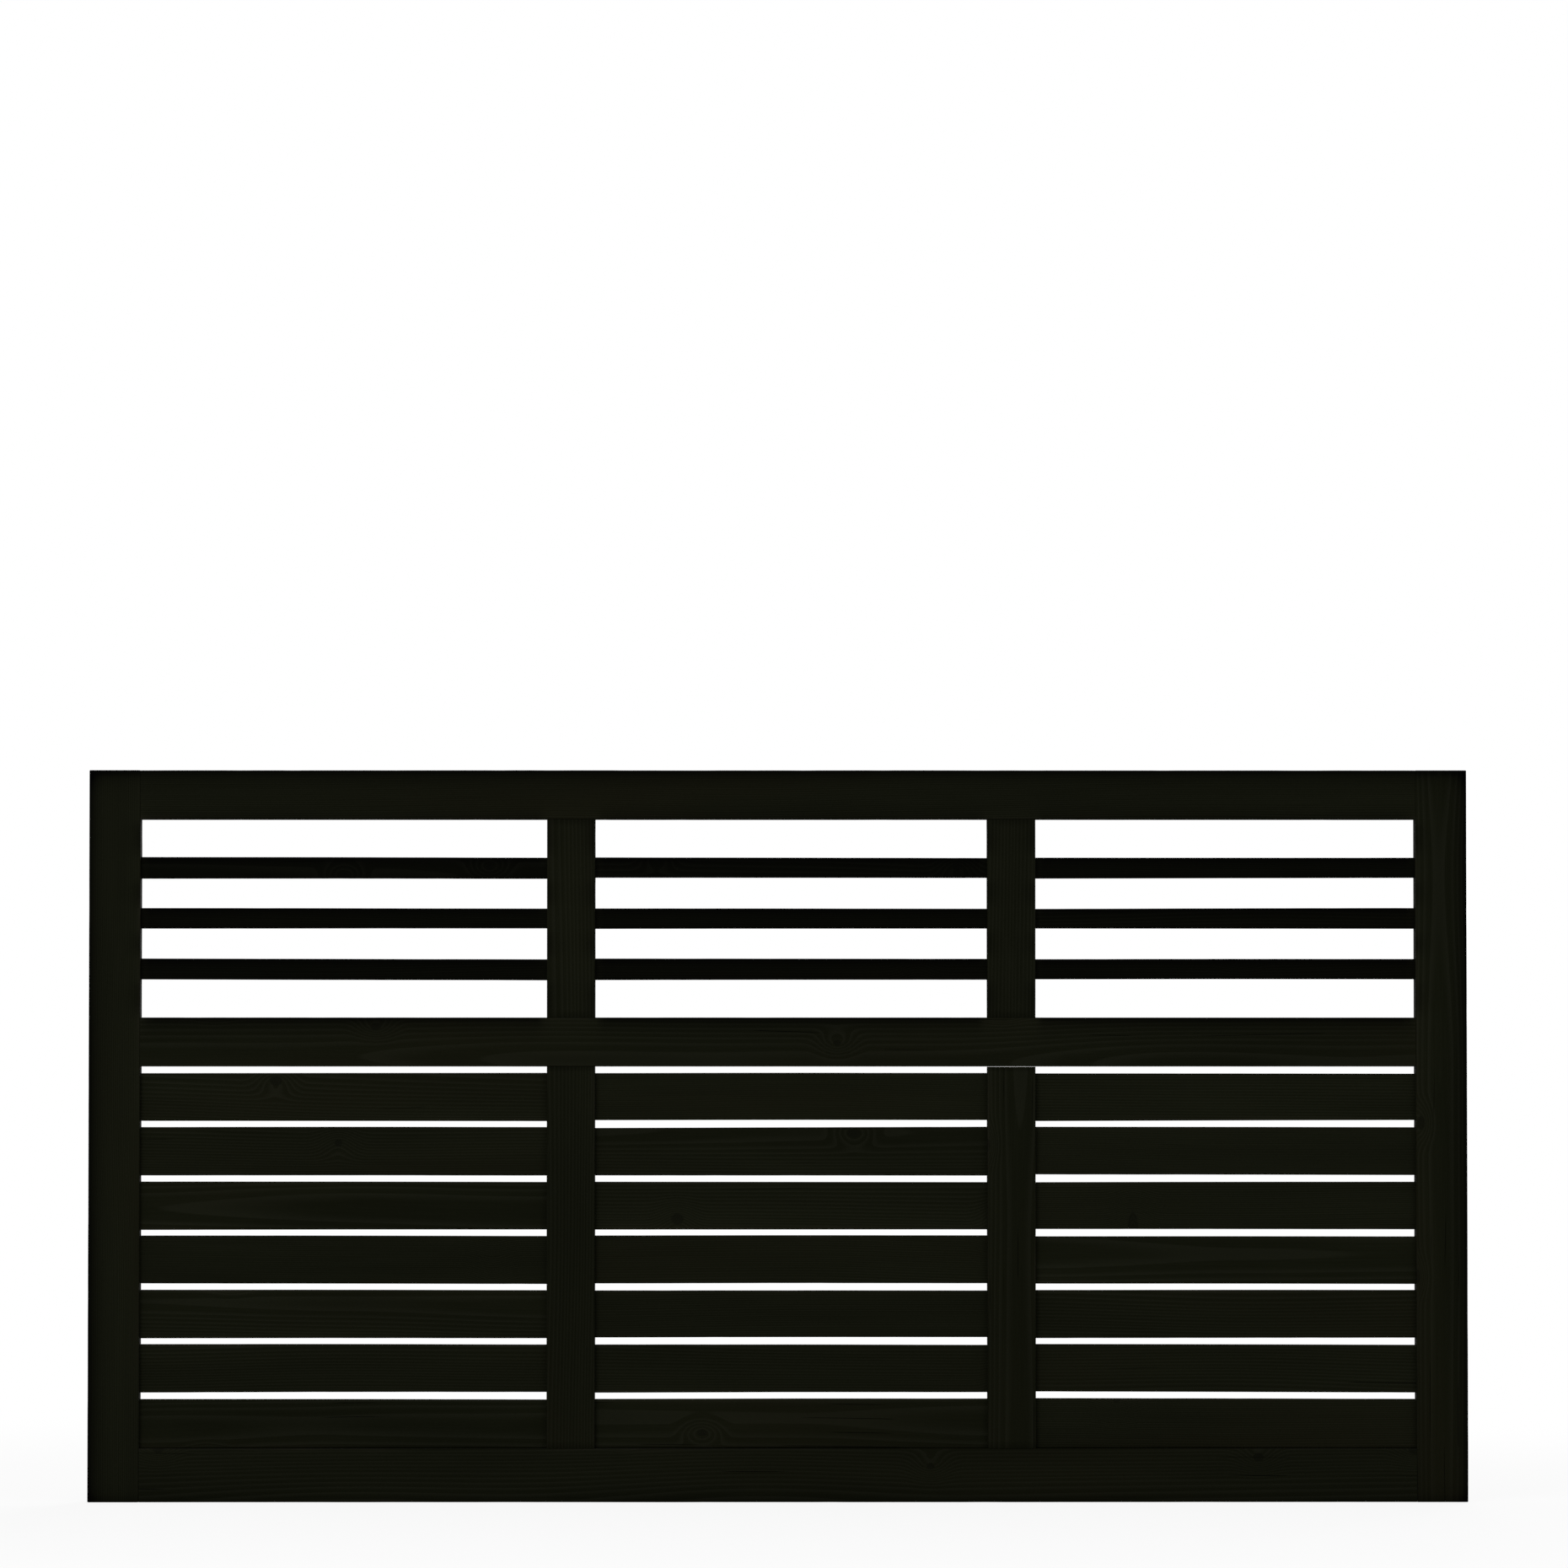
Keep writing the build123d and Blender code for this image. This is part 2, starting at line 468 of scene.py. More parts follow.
# %% Ridges and dents
RIDGE_DEPTH = 0.13 * MM
RIDGE_SPACING = 8.0 * MM
DENT_DEPTH = 0.3 * MM
DENT_SPACING = 34 * MM
DENT_RARITY = 0.62  # share of an arris without dents
RUB_REACH = 2.2 * MM  # how far knocks and rubbing reach from an arris


def near_arris(stock, a, b, reach):
    """1 on the arrises of a timber, falling off exponentially with the distance from them."""
    distance = np.maximum(stock.half_a - np.abs(a), 0.0) + np.maximum(stock.half_b - np.abs(b), 0.0)
    return np.exp(-distance / reach)


def surface_loss(stock, s, a, b):
    """Depth below the planed surface: a cosine of the distance from the pith, and knocks on each arris."""
    from_pith = np.hypot(*stock.log.offset(s, a, b))
    ridges = 0.5 + 0.5 * np.cos(2.0 * math.pi * from_pith / RIDGE_SPACING)
    dents = np.zeros(from_pith.shape)
    for side_a, side_b in ((-1, -1), (-1, 1), (1, -1), (1, 1)):
        knocks = np.maximum(stock.random_line(s, DENT_SPACING) - DENT_RARITY, 0.0) / (1.0 - DENT_RARITY)
        dents += knocks * ((a * side_a > 0) & (b * side_b > 0))
    return RIDGE_DEPTH * ridges + DENT_DEPTH * dents * near_arris(stock, a, b, RUB_REACH)


trial_loss = surface_loss(trial_board, trial_stations[:, None], *trial_loop.T[:, None, :])
print("deepest relief on a board", round(trial_loss.max() / MM, 3), "mm")

# %% [markdown]
# ## Carving a timber
#
# A piece is the section carried along its length, one loop at each station. Pockets for board ends and
# mortises could be cut with Boolean modifiers, but those leave ragged faces that shade badly. Here the
# points of the grid that lie inside a pocket move down to its floor, and a tenon is the same loop drawn in
# to a smaller rectangle, so the doubled lines fold into clean walls. Thin pieces also bow, cup and taper.

# %% Bend a thin piece
Warp = namedtuple("Warp", "bow cup crown low_edge high_edge")


def warped(stock, warp, s, a, b):
    """Bow, cup and crown fade at a piece's ends as a squared sine, and its edges taper in a line."""
    part = (s - stock.start) / (stock.end - stock.start)
    free = np.sin(math.pi * part) ** 2
    low = warp.low_edge[0] * (1.0 - part) + warp.low_edge[1] * part
    high = warp.high_edge[0] * (1.0 - part) + warp.high_edge[1] * part
    across = a / stock.half_a
    moved_a = a + low * (1.0 - across) / 2 + high * (1.0 + across) / 2 + free * warp.crown
    return moved_a, b + free * (warp.bow + warp.cup * across**2)


bent = warped(trial_board, Warp(1.0, 0.0, 0.0, (0.0, 0.0), (0.0, 0.0)), trial_stations, 0.0, 0.0)[1]
print("a bow of 1 at the ends and the middle:", np.round(bent[[0, len(bent) // 2, -1]], 2))

# %% Carve a grid of loops
END_EASE = 0.8 * MM  # radius of the edges of a sawn end that shows
Pocket = namedtuple("Pocket", "side low high half depth")
Tenon = namedtuple("Tenon", "first last half_a half_b")


def carved(stock, ease, pockets=(), tenon=None, warp=None):
    """Points of a carved timber, station by station and round each loop.

    A point lies inwards of its section by the surface loss, on the floor of a pocket or on the tenon.
    """
    halves = sorted({pocket.half for pocket in pockets})
    loop, outward = section_loop(stock.half_a, stock.half_b, ease, halves)
    cuts = [place for pocket in pockets for place in (pocket.low, pocket.high)]
    cuts += [tenon.first, tenon.last] if tenon else []
    eased = [stock.start + END_EASE, stock.end - END_EASE] if stock.sawn_ends else []
    s = stations(stock.start, stock.end, cuts, eased)[:, None]
    a, b = loop.T[:, None, :]
    loss = surface_loss(stock, s, a, b)
    if stock.sawn_ends:
        loss[[0, -1]] += END_EASE
    cut_a = a - outward[:, 0] * loss
    cut_b = b - outward[:, 1] * loss
    for pocket in pockets:
        on_edge = np.isclose(a, pocket.side * stock.half_a, atol=SEAM / 10) & (np.abs(b) < pocket.half)
        inside = on_edge & (s > pocket.low - SEAM / 2) & (s < pocket.high + SEAM / 2)
        cut_a = np.where(inside, pocket.side * (stock.half_a - pocket.depth), cut_a)
    if tenon:
        past = (s < tenon.first) | (s > tenon.last)
        cut_a = np.where(past, np.clip(a, -tenon.half_a, tenon.half_a), cut_a)
        cut_b = np.where(past, np.clip(b, -tenon.half_b, tenon.half_b), cut_b)
    if warp:
        cut_a, cut_b = warped(stock, warp, s, cut_a, cut_b)
    return stock.in_panel(s, cut_a, cut_b)


trial_points = carved(trial_board, INFILL_EASE)
print("a board's grid:", trial_points.shape)

# %% [markdown]
# ## From points to a mesh
#
# Neighbouring loops join into quads. One face would close each end, but the arcs of the grain need points in
# between, so an end that shows closes with rings that shrink to its middle, and only a hidden end has one
# face. Doubled lines that weren't needed are merged again, and only true corners are marked sharp.

# %% Faces of a grid
def quads(rows, columns):
    """Faces between neighbouring rows and columns, with the last column joined to the first."""
    row = np.arange(rows - 1)[:, None] * columns
    column = np.arange(columns)[None, :]
    following = (column + 1) % columns
    corners = [row + column, row + following, row + columns + following, row + columns + column]
    return np.stack(corners, axis=-1).reshape(-1, 4).tolist()


print("quads of a board:", len(quads(*trial_points.shape[:2])))

# %% Closed mesh
END_RINGS = (0.97, 0.8, 0.6, 0.4, 0.2, 0.0)  # sizes of the rings over a sawn end, as shares of its outline
SHARP_ANGLE = math.radians(40)


def shrinking(loop):
    """Rings that draw in from a loop to its middle."""
    middle = loop.mean(axis=0)
    return middle + (loop - middle) * np.array(END_RINGS)[:, None, None]


def closed_mesh(name, points, sawn_ends):
    """A closed mesh from points by station and loop, with rings or one face over each end."""
    if sawn_ends:
        points = np.concatenate([shrinking(points[0])[::-1], points, shrinking(points[-1])])
    rows, columns = points.shape[:2]
    ends = [] if sawn_ends else [list(range(columns)), list(range((rows - 1) * columns, rows * columns))]
    mesh = bpy.data.meshes.new(name)
    mesh.from_pydata(points.reshape(-1, 3).tolist(), [], quads(rows, columns) + ends)
    work = bmesh.new()
    work.from_mesh(mesh)
    bmesh.ops.remove_doubles(work, verts=work.verts, dist=SAME_PLACE)
    bmesh.ops.dissolve_degenerate(work, edges=work.edges, dist=SAME_PLACE)
    bmesh.ops.recalc_face_normals(work, faces=work.faces)
    work.to_mesh(mesh)
    work.free()
    mesh.shade_smooth()
    mesh.set_sharp_from_angle(angle=SHARP_ANGLE)
    return mesh


print("rings over a sawn end:", shrinking(trial_points[0]).shape[0])

# %% [markdown]
# ## What the stain will read
#
# The stain has to know more than where a point lies in the log: whether it is on a sawn end, how much its
# arris is rubbed, and whether that arris stands free. Free edges and ends are darkened with painted shade,
# most of all upper ones and the panel's two sides, while an edge with a neighbour close by gets no more than
# the rest. These could be painted by hand, but the pieces' own boxes say it all, so they are worked out and
# stored on the points of each mesh.

# %% Free arrises
PROBE = 12 * MM  # an arris is free where nothing stands this far beside it
PROBE_STEP = 2 * MM
PROBE_WIDEN = 6 * MM  # closes the narrow gaps between neighbours
PROBE_EASE = 7  # steps over which a free stretch begins


def free_stretch(stock, side, s):
    """1 along stretches of one edge that have no other timber close beside them, eased to 0 elsewhere."""
    line = np.arange(stock.start, stock.end + PROBE_STEP, PROBE_STEP)
    level = stock.middle[stock.across] + side * (stock.half_a + PROBE)
    beside = np.zeros(len(line), bool)
    for node, (low, high) in boxes.items():
        if node != stock.node and low[stock.across] < level < high[stock.across]:
            beside |= (line > low[stock.along] - PROBE_WIDEN) & (line < high[stock.along] + PROBE_WIDEN)
    padded = np.pad((~beside).astype(float), PROBE_EASE // 2, mode="edge")
    return np.interp(s, line, np.convolve(padded, np.ones(PROBE_EASE) / PROBE_EASE, mode="valid"))


inner_edge = free_stretch(trial_stile, 1, np.linspace(trial_stile.start, trial_stile.end, 500))
print("free share of the left stile's inner edge:", round(inner_edge.mean(), 2))

# %% Painted shade on free arrises
EDGE_SHADE_REACH = 10 * MM
FULL_EDGE_SHADE = 1.0  # painted shade of an upper edge or end, or of a side of the panel
LESSER_EDGE_SHADE = 0.5  # painted shade of a lower or inner one


def edge_shade_load(stock, side):
    """How much painted shade one edge of a timber gets, most on an upper edge or a side of the panel."""
    upper = stock.along == 0 and side > 0
    edge = stock.middle[0] + side * stock.half_a
    outer = stock.along == 2 and not panel_low[0] + MM < edge < panel_high[0] - MM
    return FULL_EDGE_SHADE if upper or outer else LESSER_EDGE_SHADE


def edge_shade_amount(stock, s, a, b):
    """Painted shade: the sum over free edges and sawn ends, each falling off exponentially from its arrises.

    Only uprights have sawn ends, so the start of such a timber is its lower end.
    """
    shade_weights = []
    for side in (-1, 1):
        shade_weights.append((edge_shade_load(stock, side) * free_stretch(stock, side, s), stock.half_a - side * a))
    if stock.sawn_ends:
        shade_weights += [(LESSER_EDGE_SHADE, s - stock.start), (FULL_EDGE_SHADE, stock.end - s)]
    to_face = np.maximum(stock.half_b - np.abs(b), 0.0)
    painted_edge_shade = np.zeros(len(s))
    for shade_weight, distance in shade_weights:
        painted_edge_shade += shade_weight * np.exp(-(np.maximum(distance, 0.0) + to_face) / EDGE_SHADE_REACH)
    return np.minimum(painted_edge_shade, 1.0)


# How much painted shade each edge of the left stile gets
print("edge loads of the left stile:", [edge_shade_load(trial_stile, side) for side in (-1, 1)])

# %% Values stored on each point
RUB_SPACING = 60 * MM
# The second of these marks is painted shade along free edges and ends; the others are the timber's own
# marks.
MARKS = ("rubbed", "painted_edge_shade", "end_grain", "flat_sawn", "tone")


def flat_sawn(stock, s, a, b):
    """How squarely the rings lie under the nearest face: the share of the offset from the pith across it."""
    out_a, out_b = stock.log.offset(s, a, b)
    on_face = stock.half_b - np.abs(b) < stock.half_a - np.abs(a)
    return np.where(on_face, np.abs(out_b), np.abs(out_a)) / np.hypot(out_a, out_b)


def mark(mesh, stock):
    """Stores each point's log coordinates and the values that the stain reads."""
    points = np.zeros(len(mesh.vertices) * 3, np.float32)
    mesh.vertices.foreach_get("co", points)
    s, a, b = stock.on_timber(points.reshape(-1, 3).astype(float))
    rubbed = near_arris(stock, a, b, RUB_REACH) * stock.random_line(s, RUB_SPACING)
    on_end = np.minimum(s - stock.start, stock.end - s) < END_EASE / 2
    # Painted shade along free edges and sawn ends
    painted_edge_shade = edge_shade_amount(stock, s, a, b)
    tone = np.full(len(s), stock.tone)
    for name, value in zip(MARKS, (rubbed, painted_edge_shade, on_end, flat_sawn(stock, s, a, b), tone)):
        mesh.attributes.new(name, "FLOAT", "POINT").data.foreach_set("value", value.astype(np.float32))
    grain = np.stack(stock.log.place(s, a, b), axis=1).astype(np.float32)
    mesh.attributes.new("grain", "FLOAT_VECTOR", "POINT").data.foreach_set("vector", grain.ravel())


print("values on each point:", ("grain",) + MARKS)

# %% [markdown]
# ## Rings, knots and checks
#
# A ring is the fraction left when the distance from the pith is divided by the ring spacing: it starts with
# soft early wood and ends with a hard line. A wood texture could draw such lines on one face, but only log
# coordinates carry them round the corners. Knots are the stubs of branches, and the rings bend round them.
# Checks are the thin cracks that drying opens across the rings, which is why they show on flat-sawn faces.

# %% Patterns on the log
def components(vector):
    """The three numbers of a vector."""
    first = vector.node("ShaderNodeSeparateXYZ", inputs={0: vector})
    return first, first.also(1), first.also(2)


def streaks(grain, scales, detail=1.0):
    """Smooth random values. Each scale is how many lie in a metre: along the log, outwards and round it."""
    place = grain.node("ShaderNodeVectorMath", {"operation": "MULTIPLY"}, {0: grain, 1: scales})
    return grain.node("ShaderNodeTexNoise", inputs={"Vector": place, "Scale": 1.0, "Detail": detail})


def fraction(value):
    """What is left of a value after its whole part."""
    return value.math("FRACT", value)


trial_place = trial_board.log.place(trial_board.start, 0.0, 0.0)
print("a board's first point in its log, in metres:", np.round(trial_place, 3))

# %% Knots
KNOT_CELL = 0.13  # one place for a knot in each square of this side, on the log's skin
KNOT_SCATTER = 0.45  # how far knots leave the middle of their square
KNOT_SHARE = 0.28  # share of those places that have one
KNOT_CHANCE_STEP = 0.001  # so small that a place has a knot or none
KNOT_STRETCH = 1.6  # knots and their squares are this much longer along the grain
KNOT_RADIUS = (3.5 * MM, 8.5 * MM)
KNOT_EDGE = (0.82, 1.08)  # shares of its radius over which a knot ends
KNOT_BEND = 34 * MM  # how far from a knot the rings still bend


def knots(grain):
    """Each point's distance from a knot, how much of the point is knot, and how far the rings bend there."""
    along, _, around = components(grain)
    skin = grain.node("ShaderNodeCombineXYZ", inputs={0: along / KNOT_STRETCH, 1: around})
    squares = {"Vector": skin, "Scale": 1.0 / KNOT_CELL, "Randomness": KNOT_SCATTER}
    cells = grain.node("ShaderNodeTexVoronoi", {"voronoi_dimensions": "2D"}, squares)
    from_knot = cells * KNOT_CELL
    chance, girth, _ = components(cells.also("Color"))
    has_knot = ramp(chance, 1.0 - KNOT_SHARE, 1.0 - KNOT_SHARE + KNOT_CHANCE_STEP)
    radius = KNOT_RADIUS[0] + girth * (KNOT_RADIUS[1] - KNOT_RADIUS[0])
    knot = has_knot * (1.0 - ramp(from_knot / radius, *KNOT_EDGE))
    bend = has_knot * (1.0 - ramp(from_knot, 0.0, KNOT_BEND))
    return from_knot, knot, bend


print("along one line of squares, a knot about every", round(KNOT_CELL * KNOT_STRETCH / KNOT_SHARE, 2), "m")

# %% Rings that bend round knots
RING_SPACING = 3.1 * MM
RING_WANDER = 1.6  # rings by which the growth of one year strays
WANDER_SCALES = (0.8, 45.0, 6.0)
LATE_START = (0.35, 0.9)  # shares of a ring over which late wood begins
LATE_STOP = (0.93, 1.0)  # shares of a ring over which it gives way to the next early wood
KNOT_SHIFT = 4.0  # rings that a knot pushes aside
KNOT_RING = 1.2 * MM
KNOT_LATE = (0.2, 0.9)  # shares of a knot's ring over which late wood begins


def rings_and_knots(grain):
    """Share of hard late wood at each point, and how much of the point is knot."""
    from_knot, knot, bend = knots(grain)
    from_pith = components(grain)[1]
    wander = streaks(grain, WANDER_SCALES) * RING_WANDER
    season = fraction(from_pith / RING_SPACING + wander + bend * bend * KNOT_SHIFT)
    late = ramp(season, *LATE_START) * (1.0 - ramp(season, *LATE_STOP))
    knot_late = ramp(fraction(from_knot / KNOT_RING), *KNOT_LATE)
    return late + knot * (knot_late - late), knot


trial_rings = 2 * trial_board.half_a * trial_board.log.growth / RING_SPACING
print("most rings across a board's face:", round(trial_rings))

# %% Drying checks
CHECK_SPACING = 19 * MM
CHECK_WIDTH = (0.12 * MM, 0.40 * MM)
CHECK_SWAY = 1.5  # spacings by which a check strays along its board
CHECK_SWAY_SCALES = (1.6, 0.0, 0.0)
CHECK_PATCH_SCALES = (7.0, 25.0, 40.0)
CHECK_PATCH = (0.66, 0.74)  # random values over which a patch with checks begins
CHECK_FLATNESS = (0.6, 0.85)  # how flat-sawn a face has to be


def drying_checks(grain, flatness):
    """1 in a thin crack along the grain: lines spaced round the log, kept on some flat-sawn stretches."""
    around = components(grain)[2]
    sway = streaks(grain, CHECK_SWAY_SCALES) * CHECK_SWAY
    line = fraction(around / CHECK_SPACING + sway) - 0.5
    distance = line.math("ABSOLUTE", line) * CHECK_SPACING
    patch = ramp(streaks(grain, CHECK_PATCH_SCALES, detail=0.0), *CHECK_PATCH)
    here = patch * ramp(flatness, *CHECK_FLATNESS)
    return here * (1.0 - ramp(distance, *CHECK_WIDTH))


print("places for a check across a board's face:", round(2 * trial_board.half_a / CHECK_SPACING))

# %% [markdown]
# ## The stain
#
# One near-black stain covers the whole panel, thin enough to leave the timber's surface open. Soft early
# wood drinks more of it than the hard late wood of each ring, so the rings show as slightly paler lines.
# It wears off where the arrises are rubbed, sinks deep into the ends and catches dust wherever it faces up,
# and painted shade darkens it along free arrises and ends. One flat black would show none of that, so the
# colour is a sum of all these. The stain is nearly matt, so its shine is set low and its roughness follows
# the fibres. The narrow slats wear a darker copy of it, which is painted shade.

# %% Colours that the stain can take
EARLY_STAIN = (0.0043, 0.0048, 0.0022, 1.0)
LATE_STAIN = (0.0073, 0.0078, 0.0044, 1.0)
WARM_STAIN = (0.0072, 0.0060, 0.0028, 1.0)
RUBBED_WOOD = (0.0200, 0.0175, 0.0125, 1.0)
DUST = (0.0200, 0.0195, 0.0170, 1.0)

print("early wood takes the stain to", EARLY_STAIN[:3], "and late wood to", LATE_STAIN[:3])

# %% Colour at a point
# How far each colour after the first goes where it is strongest
LATE_SHARE = 0.75
FIBRE_SHARE = 0.35
WARM_SHARE = 0.3
RUBBED_SHARE = 0.5
DUST_SHARE = 0.4

# Shares of the colour that sawn ends, checks and knots take away, and that the blotches of a brush leave
END_LOSS = 0.35
CHECK_LOSS = 0.85
KNOT_LOSS = 0.35
BLOTCH_LEAVES = (0.72, 1.28)

# Random values over which fibres, warmth, wear and dust begin
FIBRE_SHOWS = (0.35, 0.75)
WARMTH_SHOWS = (0.45, 0.75)
WEAR_SHOWS = (0.8, 1.3)
DUST_SHOWS = (0.3, 0.75)
BLOTCH_SCALES = (2.5, 18.0, 18.0)
WARMTH_SCALES = (1.3, 7.0, 7.0)


def blend(factor, first, second):
    """A colour between two, by a factor from 0 to 1."""
    return factor.node("ShaderNodeMix", {"data_type": "RGBA"}, {0: factor, 6: first, 7: second}, output=2)


def stain_colour(paleness, grain, late, knot, checks, fibre, facing_up, marks):
    """Early wood blended towards late, warm, rubbed and dusty wood, times all that darkens or pales it."""
    blotch = streaks(grain, BLOTCH_SCALES, detail=2.0)
    warmth = ramp(streaks(grain, WARMTH_SCALES), *WARMTH_SHOWS)
    worn = marks["rubbed"] * ramp(fibre + blotch, *WEAR_SHOWS)
    dusty = facing_up * ramp(blotch, *DUST_SHOWS)
    colour = blend(late * LATE_SHARE, EARLY_STAIN, LATE_STAIN)
    colour = blend(ramp(fibre, *FIBRE_SHOWS) * FIBRE_SHARE, colour, LATE_STAIN)
    colour = blend(warmth * WARM_SHARE, colour, WARM_STAIN)
    colour = blend(worn * RUBBED_SHARE, colour, RUBBED_WOOD)
    colour = blend(dusty * DUST_SHARE, colour, DUST)
    brushed = BLOTCH_LEAVES[0] + (BLOTCH_LEAVES[1] - BLOTCH_LEAVES[0]) * blotch
    # The last factor darkens free edges and ends: painted shade
    shading = paleness * marks["tone"] * brushed * (1.0 - marks["painted_edge_shade"])
    shading = shading * (1.0 - END_LOSS * marks["end_grain"])
    shading = shading * (1.0 - CHECK_LOSS * checks) * (1.0 - KNOT_LOSS * knot)
    return colour.node("ShaderNodeVectorMath", {"operation": "SCALE"}, {0: colour, "Scale": shading})


print("a check takes away", CHECK_LOSS, "of the colour, a knot", KNOT_LOSS, "and a sawn end", END_LOSS)

# %% Roughness of the stain
STAIN_ROUGHNESS = 0.62
FIBRE_ROUGHNESS = 0.22
LATE_SMOOTHNESS = 0.10
END_ROUGHNESS = 0.12
DUST_ROUGHNESS = 0.10
KNOT_SMOOTHNESS = 0.12


def stain_roughness(fibre, late, knot, facing_up, end_grain):
    """A weighted sum of what makes the stain rougher or smoother."""
    rough = STAIN_ROUGHNESS + FIBRE_ROUGHNESS * fibre - LATE_SMOOTHNESS * late
    return rough + END_ROUGHNESS * end_grain + DUST_ROUGHNESS * facing_up - KNOT_SMOOTHNESS * knot


print("late wood is smoother than early wood by", LATE_SMOOTHNESS, "and knots by", KNOT_SMOOTHNESS)

# %% Surface of the stain
STAIN_SPECULAR = 0.01
FIBRE_SCALES = (9.0, 900.0, 900.0)
FACING_UP = (0.5, 0.95)  # upward part of the normal over which dust begins to lie
BUMP_UNIT = MM  # heights and depths of the bump are in millimetres
LATE_HEIGHT = 0.10
FIBRE_HEIGHT = 0.07
KNOT_HEIGHT = 0.12
CHECK_DEPTH = 0.6


def stained_timber(name, paleness):
    """The stain on one kind of timber, with its colour scaled by a paleness."""
    material = bpy.data.materials.new(name)
    stain = cleared(material)
    grain = stain.node("ShaderNodeAttribute", {"attribute_name": "grain"}, output="Vector")
    marks = {}
    for label in MARKS:
        marks[label] = stain.node("ShaderNodeAttribute", {"attribute_name": label}, output="Fac")
    late, knot = rings_and_knots(grain)
    checks = drying_checks(grain, marks["flat_sawn"])
    fibre = streaks(grain, FIBRE_SCALES, detail=3.0)
    facing_up = ramp(components(stain.node("ShaderNodeNewGeometry", output="Normal"))[2], *FACING_UP)
    colour = stain_colour(paleness, grain, late, knot, checks, fibre, facing_up, marks)
    roughness = stain_roughness(fibre, late, knot, facing_up, marks["end_grain"])
    height = LATE_HEIGHT * late + FIBRE_HEIGHT * fibre - CHECK_DEPTH * checks + KNOT_HEIGHT * knot
    bump = stain.node("ShaderNodeBump", inputs={"Strength": 1.0, "Distance": BUMP_UNIT, "Height": height})
    finish = {"Base Color": colour, "Roughness": roughness, "Normal": bump}
    surface = stain.node("ShaderNodeBsdfPrincipled", inputs=finish | {"Specular IOR Level": STAIN_SPECULAR})
    stain.node("ShaderNodeOutputMaterial", inputs={"Surface": surface})
    return material


print("the bump goes down by up to", CHECK_DEPTH, "mm in a check")

# %% The stain on each kind of timber
FRAME_PALENESS = 1.0
# The slats' low paleness is painted shade: it darkens their copy of the stain.
SLAT_PALENESS_PAINTED_SHADE = 0.46
BOARD_PALENESS = 1.06

frame_stain = stained_timber("frame_stain", FRAME_PALENESS)
# A darker copy of the stain, as painted shade on the slats
slat_stain_painted_shade = stained_timber("slat_stain_painted_shade", SLAT_PALENESS_PAINTED_SHADE)
board_stain = stained_timber("board_stain", BOARD_PALENESS)
print("nodes in a stain:", len(frame_stain.node_tree.nodes))

# %% [markdown]
# ## Slats and boards
#
# The infill pieces run along X and their ends lie in housings. Thin boards never stay quite flat or keep
# quite the same width. Modelled as straight bars they would show gaps as even as if ruled, so each gets a
# slight bow and cup, a crown that can only rise, and edges that taper by up to a millimetre. The lower edge
# of a board that rests on the bottom rail doesn't taper.

# %% Put a finished timber into the scene
BODY = "root"
pieces = {}


def finished(stock, points, material):
    """A piece that stands for its node, rides on the panel's one body and wears a stain."""
    mesh = closed_mesh(f"{stock.node}_timber", points, stock.sawn_ends)
    mark(mesh, stock)
    mesh.materials.append(material)
    piece = bpy.data.objects.new(mesh.name, mesh)
    scene.collection.objects.link(piece)
    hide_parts(stock.node)
    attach(piece, BODY)
    pieces[stock.node] = piece


print("pieces ride on", BODY)

# %% Make the infill
BOW = 0.6 * MM  # most that a piece leaves its plane along its length
CUP = 0.25 * MM  # most that it does so across its width
CROWN = 0.35 * MM  # most that its middle rises
TAPER = 1.0 * MM  # most that an edge moves at either end

slats = sorted(node for node in boxes if "_slat_" in node)
boards = sorted(node for node in boxes if "_board_" in node)
rail_top = boxes["bottom_rail"][1][2]
warps = {}


def drawn_warp(stock):
    """A random warp, without a taper on the lower edge of a board that rests on the bottom rail."""
    draw = stock.rng.uniform
    seated = boxes[stock.node][0][2] < rail_top + MM
    low_edge = (0.0, 0.0) if seated else draw(-TAPER, TAPER, 2)
    high_edge = draw(-TAPER, TAPER, 2)
    return Warp(draw(-BOW, BOW), draw(-CUP, CUP), draw(0.0, CROWN), low_edge, high_edge)


# Slats take the darker copy of the stain, which is painted shade
for nodes, stain, slot in ((slats, slat_stain_painted_shade, "slat_timber"), (boards, board_stain, "board_timber")):
    for node in nodes:
        stock = Stock(node, along=0)
        warps[node] = drawn_warp(stock)
        finished(stock, carved(stock, INFILL_EASE, warp=warps[node]), stain)
print(len(slats), "slats and", len(boards), "boards")

# %% [markdown]
# ## The frame
#
# Uprights carry a housing for every slat and board that reaches into them, read from the boxes of the
# packed model, and the stiles also carry a mortise for each rail. Plain bars that run through each other
# would look the same from afar, but would overlap where the real timbers are cut away. Most of the joinery
# is hidden once the panel is closed, and the thin shadow round each board end comes from it.

# %% Housings for the infill
HOUSING_FIT = 0.25 * MM
HOUSING_END_PLAY = 0.5 * MM


def entries(upright, nodes):
    """Each piece that ends inside an upright, with the upright's side, the piece's end and its depth."""
    low, high = boxes[upright]
    for node in nodes:
        start, end = boxes[node]
        level = start[2] > low[2] - SAME_PLACE and end[2] < high[2] + SAME_PLACE
        if level and low[0] < start[0] < high[0]:
            yield node, 1, 0, high[0] - start[0]
        if level and low[0] < end[0] < high[0]:
            yield node, -1, 1, end[0] - low[0]


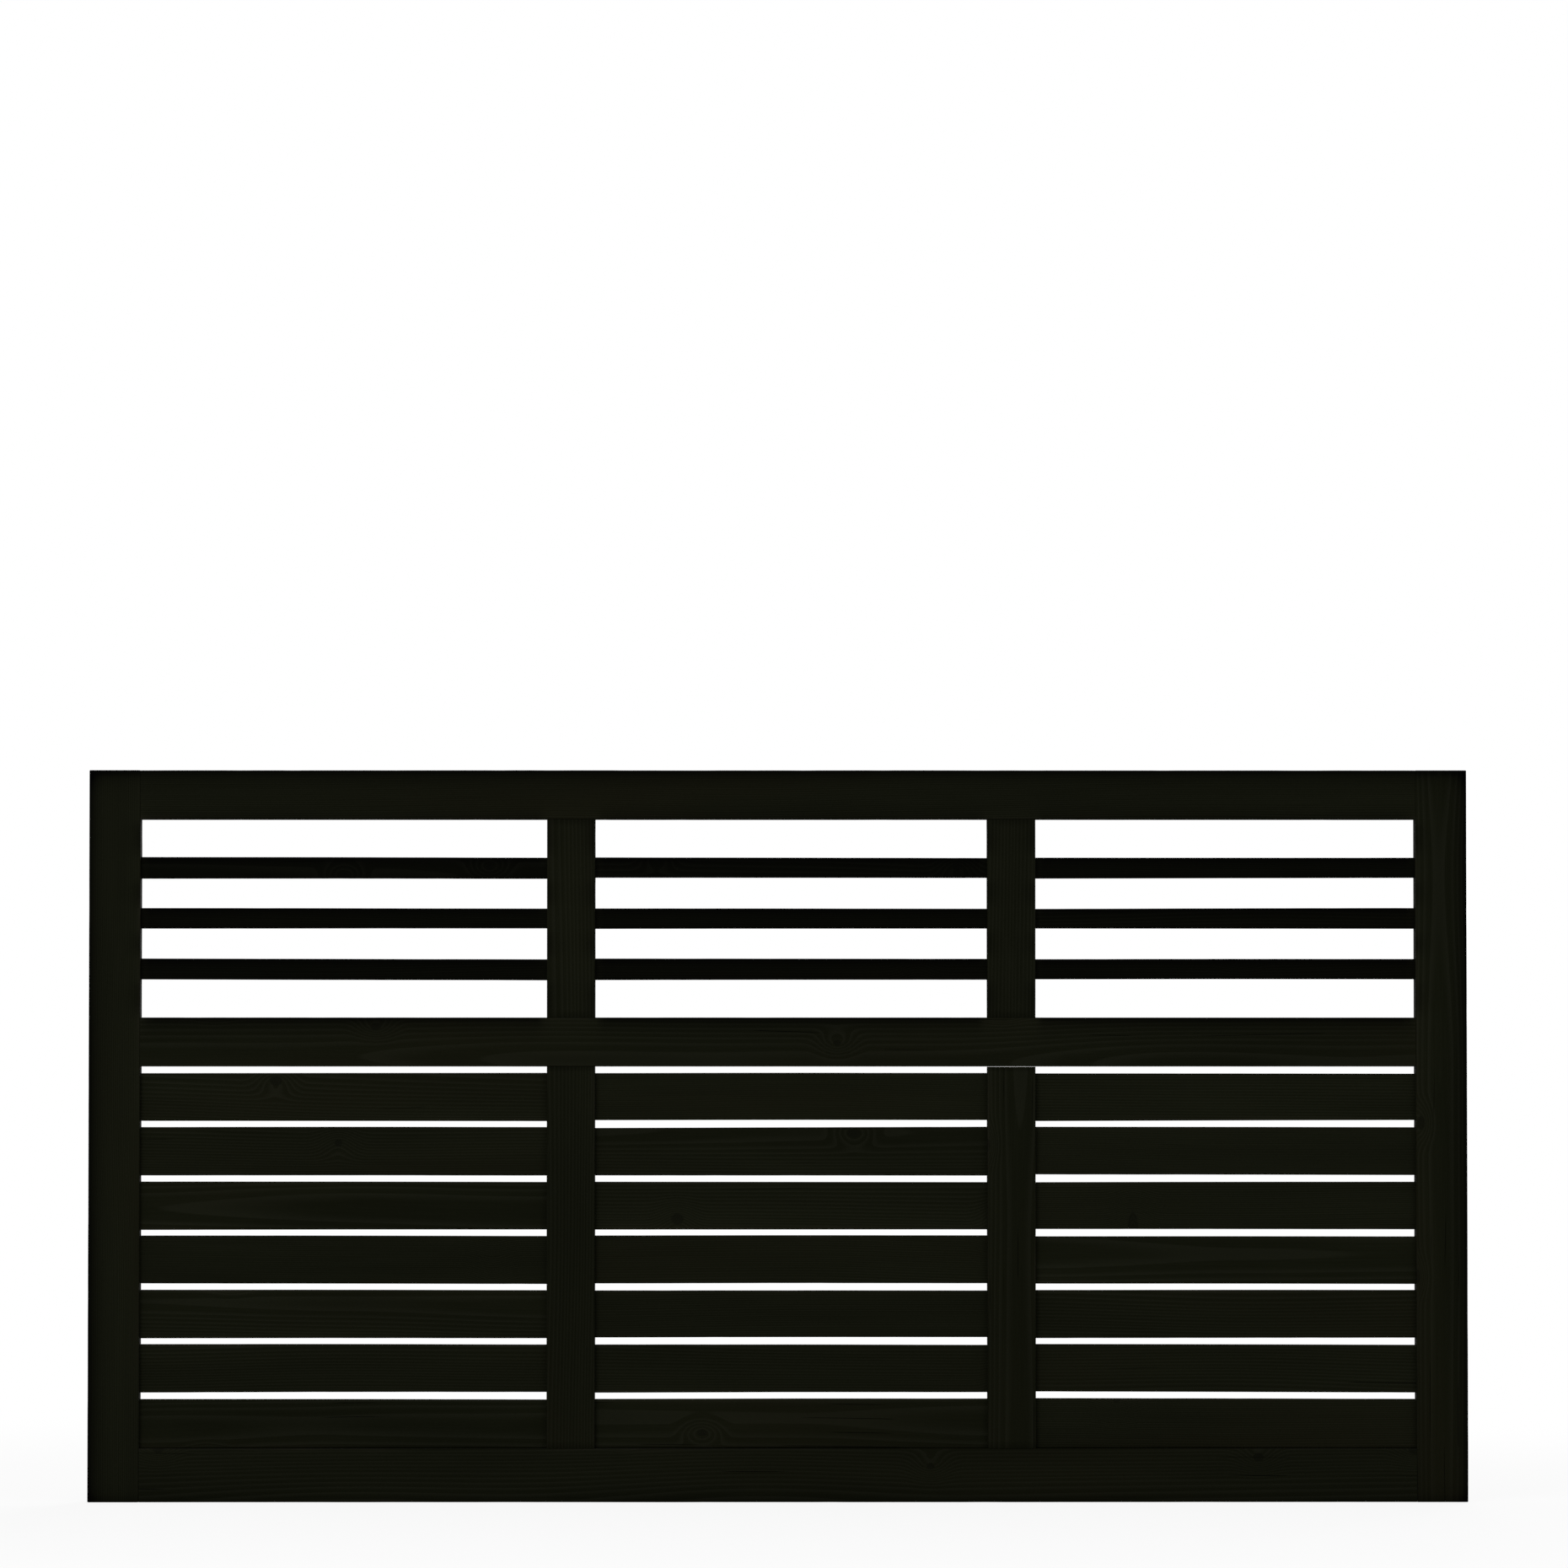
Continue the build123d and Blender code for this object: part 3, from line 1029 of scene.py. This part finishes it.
def housings_in(upright):
    """A housing for the end of each slat and board, as low as the end lies and a little roomier above."""
    for node, side, end, depth in entries(upright, slats + boards):
        low, high = boxes[node]
        bottom = low[2] + warps[node].low_edge[end]
        top = high[2] + warps[node].high_edge[end] + HOUSING_FIT
        yield Pocket(side, bottom, top, (high[1] - low[1]) / 2 + HOUSING_FIT, depth + HOUSING_END_PLAY)


print("housings in the left stile:", len(list(housings_in("left_stile"))))

# %% Mortises for the rails
TENON_SHOULDER = 14 * MM
TENON_HALF = 6 * MM  # half a tenon's thickness
TENON_FIT = 0.2 * MM
MORTISE_GLUE_ROOM = 1.0 * MM
rails = ("top_rail", "mid_rail", "bottom_rail")


def mortises_in(upright):
    """A mortise for each rail's tenon, with its fit on every side and room for glue at its end."""
    inset = TENON_SHOULDER - TENON_FIT
    for node, side, _, depth in entries(upright, rails):
        bottom = boxes[node][0][2] + inset
        top = boxes[node][1][2] - inset
        yield Pocket(side, bottom, top, TENON_HALF + TENON_FIT, depth + MORTISE_GLUE_ROOM)


print("mortises in the left stile:", len(list(mortises_in("left_stile"))))

# %% Make the frame
FRAME_EASE = 1.5 * MM
stiles = ("left_stile", "right_stile")
mullions = sorted(node for node in boxes if node.endswith("_mullion"))

for node in stiles:
    stock = Stock(node, along=2, sawn_ends=True)
    pockets = list(housings_in(node)) + list(mortises_in(node))
    finished(stock, carved(stock, FRAME_EASE, pockets), frame_stain)
    print(node, len(pockets), "pockets")

for node in mullions:
    stock = Stock(node, along=2)
    pockets = list(housings_in(node))
    finished(stock, carved(stock, FRAME_EASE, pockets), frame_stain)
    print(node, len(pockets), "pockets")

for node in rails:
    stock = Stock(node, along=0)
    shoulders = boxes["left_stile"][1][0], boxes["right_stile"][0][0]
    tenon = Tenon(*shoulders, stock.half_a - TENON_SHOULDER, TENON_HALF)
    finished(stock, carved(stock, FRAME_EASE, tenon=tenon), frame_stain)
    print(node, "between shoulders at", np.round(shoulders, 4))

# %% [markdown]
# ## Measures
#
# The finished surfaces have to stay inside the packed model's box. The last cell counts the timbers and
# their triangles.

# %% Count the timbers and their triangles
triangles = [sum(len(face.vertices) - 2 for face in piece.data.polygons) for piece in pieces.values()]
print(len(pieces), "timbers,", sum(triangles), "triangles, at most", max(triangles), "in one")
